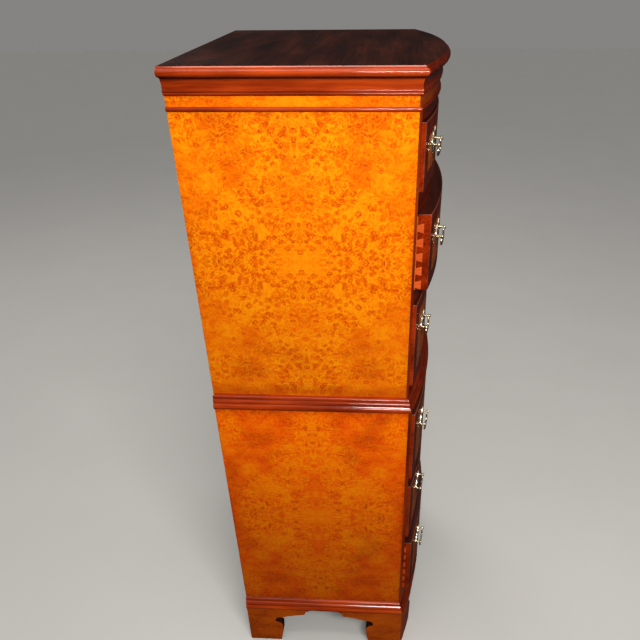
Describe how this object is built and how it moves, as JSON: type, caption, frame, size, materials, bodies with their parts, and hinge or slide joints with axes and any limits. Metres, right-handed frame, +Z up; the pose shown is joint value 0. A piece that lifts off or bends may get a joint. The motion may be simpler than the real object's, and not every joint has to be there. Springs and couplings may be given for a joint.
{
  "type": "chest-on-chest",
  "caption": "Bow-fronted chest-on-chest with full-width drawers in two stacked cases, moulded top, swan-neck handles and bracket feet.",
  "frame": {"origin": "on the floor under the middle of the bounding box", "axes": "+Z up, -Y towards the drawer fronts, +X to the right of someone facing the drawers"},
  "size_m": [0.612, 0.4886, 1.5],
  "materials": {
    "burr_veneer": "bright burr veneer, French polished",
    "mahogany": "deep red mahogany, French polished",
    "dark_top": "very dark polished mahogany",
    "drawer_lining": "plain waxed hardwood",
    "carcase": "plain unpolished softwood",
    "handle_metal": "pale aged brass"
  },
  "bodies": {
    "case": {"upper_side_left": "burr_veneer", "upper_side_right": "burr_veneer", "upper_back": "carcase", "upper_bottom": "carcase", "upper_top": "carcase", "upper_rails": "mahogany", "upper_runners": "carcase", "top_board": "dark_top", "cornice_moulding": "mahogany", "frieze": "burr_veneer", "frieze_bead": "mahogany", "lower_side_left": "burr_veneer", "lower_side_right": "burr_veneer", "lower_back": "carcase", "lower_bottom": "carcase", "lower_top": "carcase", "lower_rails": "mahogany", "lower_runners": "carcase", "waist_moulding": "mahogany", "base_moulding": "mahogany", "foot_front_left": "mahogany", "foot_front_right": "mahogany", "foot_rear_left": "mahogany", "foot_rear_right": "mahogany"},
    "drawer_1": {"drawer_1_front": "mahogany", "drawer_1_box": "drawer_lining", "drawer_1_bottom": "drawer_lining", "drawer_1_handle_mounts": "handle_metal"},
    "drawer_1_bail_left": {"drawer_1_bail_left": "handle_metal"},
    "drawer_1_bail_right": {"drawer_1_bail_right": "handle_metal"},
    "drawer_2": {"drawer_2_front": "mahogany", "drawer_2_box": "drawer_lining", "drawer_2_bottom": "drawer_lining", "drawer_2_handle_mounts": "handle_metal"},
    "drawer_2_bail_left": {"drawer_2_bail_left": "handle_metal"},
    "drawer_2_bail_right": {"drawer_2_bail_right": "handle_metal"},
    "drawer_3": {"drawer_3_front": "mahogany", "drawer_3_box": "drawer_lining", "drawer_3_bottom": "drawer_lining", "drawer_3_handle_mounts": "handle_metal"},
    "drawer_3_bail_left": {"drawer_3_bail_left": "handle_metal"},
    "drawer_3_bail_right": {"drawer_3_bail_right": "handle_metal"},
    "drawer_4": {"drawer_4_front": "mahogany", "drawer_4_box": "drawer_lining", "drawer_4_bottom": "drawer_lining", "drawer_4_handle_mounts": "handle_metal"},
    "drawer_4_bail_left": {"drawer_4_bail_left": "handle_metal"},
    "drawer_4_bail_right": {"drawer_4_bail_right": "handle_metal"},
    "drawer_5": {"drawer_5_front": "mahogany", "drawer_5_box": "drawer_lining", "drawer_5_bottom": "drawer_lining", "drawer_5_handle_mounts": "handle_metal"},
    "drawer_5_bail_left": {"drawer_5_bail_left": "handle_metal"},
    "drawer_5_bail_right": {"drawer_5_bail_right": "handle_metal"},
    "drawer_6": {"drawer_6_front": "mahogany", "drawer_6_box": "drawer_lining", "drawer_6_bottom": "drawer_lining", "drawer_6_handle_mounts": "handle_metal"},
    "drawer_6_bail_left": {"drawer_6_bail_left": "handle_metal"},
    "drawer_6_bail_right": {"drawer_6_bail_right": "handle_metal"}
  },
  "joints": [
    {"name": "drawer_1_slide", "type": "slide", "parent": "case", "child": "drawer_1", "axis": [0, -1, 0], "range_m": [0, 0.28]},
    {"name": "drawer_1_bail_left_swing", "type": "hinge", "parent": "drawer_1", "child": "drawer_1_bail_left", "pos_m": [-0.16863, -0.21419, 1.3589], "axis": [-0.9867, 0.1627, 0], "range_deg": [0, 90]},
    {"name": "drawer_1_bail_right_swing", "type": "hinge", "parent": "drawer_1", "child": "drawer_1_bail_right", "pos_m": [0.16863, -0.21419, 1.3589], "axis": [-0.9867, -0.1627, 0], "range_deg": [0, 90]},
    {"name": "drawer_2_slide", "type": "slide", "parent": "case", "child": "drawer_2", "axis": [0, -1, 0], "range_m": [-0.018, 0.28]},
    {"name": "drawer_2_bail_left_swing", "type": "hinge", "parent": "drawer_2", "child": "drawer_2_bail_left", "pos_m": [-0.16863, -0.2322, 1.18805], "axis": [-0.9867, 0.1627, 0], "range_deg": [0, 90]},
    {"name": "drawer_2_bail_right_swing", "type": "hinge", "parent": "drawer_2", "child": "drawer_2_bail_right", "pos_m": [0.16863, -0.2322, 1.18805], "axis": [-0.9867, -0.1627, 0], "range_deg": [0, 90]},
    {"name": "drawer_3_slide", "type": "slide", "parent": "case", "child": "drawer_3", "axis": [0, -1, 0], "range_m": [0, 0.28]},
    {"name": "drawer_3_bail_left_swing", "type": "hinge", "parent": "drawer_3", "child": "drawer_3_bail_left", "pos_m": [-0.16863, -0.21419, 0.98615], "axis": [-0.9867, 0.1627, 0], "range_deg": [0, 90]},
    {"name": "drawer_3_bail_right_swing", "type": "hinge", "parent": "drawer_3", "child": "drawer_3_bail_right", "pos_m": [0.16863, -0.21419, 0.98615], "axis": [-0.9867, -0.1627, 0], "range_deg": [0, 90]},
    {"name": "drawer_4_slide", "type": "slide", "parent": "case", "child": "drawer_4", "axis": [0, -1, 0], "range_m": [0, 0.28]},
    {"name": "drawer_4_bail_left_swing", "type": "hinge", "parent": "drawer_4", "child": "drawer_4_bail_left", "pos_m": [-0.16863, -0.22543, 0.7236], "axis": [-0.9867, 0.1627, 0], "range_deg": [0, 90]},
    {"name": "drawer_4_bail_right_swing", "type": "hinge", "parent": "drawer_4", "child": "drawer_4_bail_right", "pos_m": [0.16863, -0.22543, 0.7236], "axis": [-0.9867, -0.1627, 0], "range_deg": [0, 90]},
    {"name": "drawer_5_slide", "type": "slide", "parent": "case", "child": "drawer_5", "axis": [0, -1, 0], "range_m": [0, 0.28]},
    {"name": "drawer_5_bail_left_swing", "type": "hinge", "parent": "drawer_5", "child": "drawer_5_bail_left", "pos_m": [-0.16863, -0.22543, 0.5157], "axis": [-0.9867, 0.1627, 0], "range_deg": [0, 90]},
    {"name": "drawer_5_bail_right_swing", "type": "hinge", "parent": "drawer_5", "child": "drawer_5_bail_right", "pos_m": [0.16863, -0.22543, 0.5157], "axis": [-0.9867, -0.1627, 0], "range_deg": [0, 90]},
    {"name": "drawer_6_slide", "type": "slide", "parent": "case", "child": "drawer_6", "axis": [0, -1, 0], "range_m": [-0.01, 0.28]},
    {"name": "drawer_6_bail_left_swing", "type": "hinge", "parent": "drawer_6", "child": "drawer_6_bail_left", "pos_m": [-0.16863, -0.23543, 0.315], "axis": [-0.9867, 0.1627, 0], "range_deg": [0, 90]},
    {"name": "drawer_6_bail_right_swing", "type": "hinge", "parent": "drawer_6", "child": "drawer_6_bail_right", "pos_m": [0.16863, -0.23543, 0.315], "axis": [-0.9867, -0.1627, 0], "range_deg": [0, 90]}
  ]
}
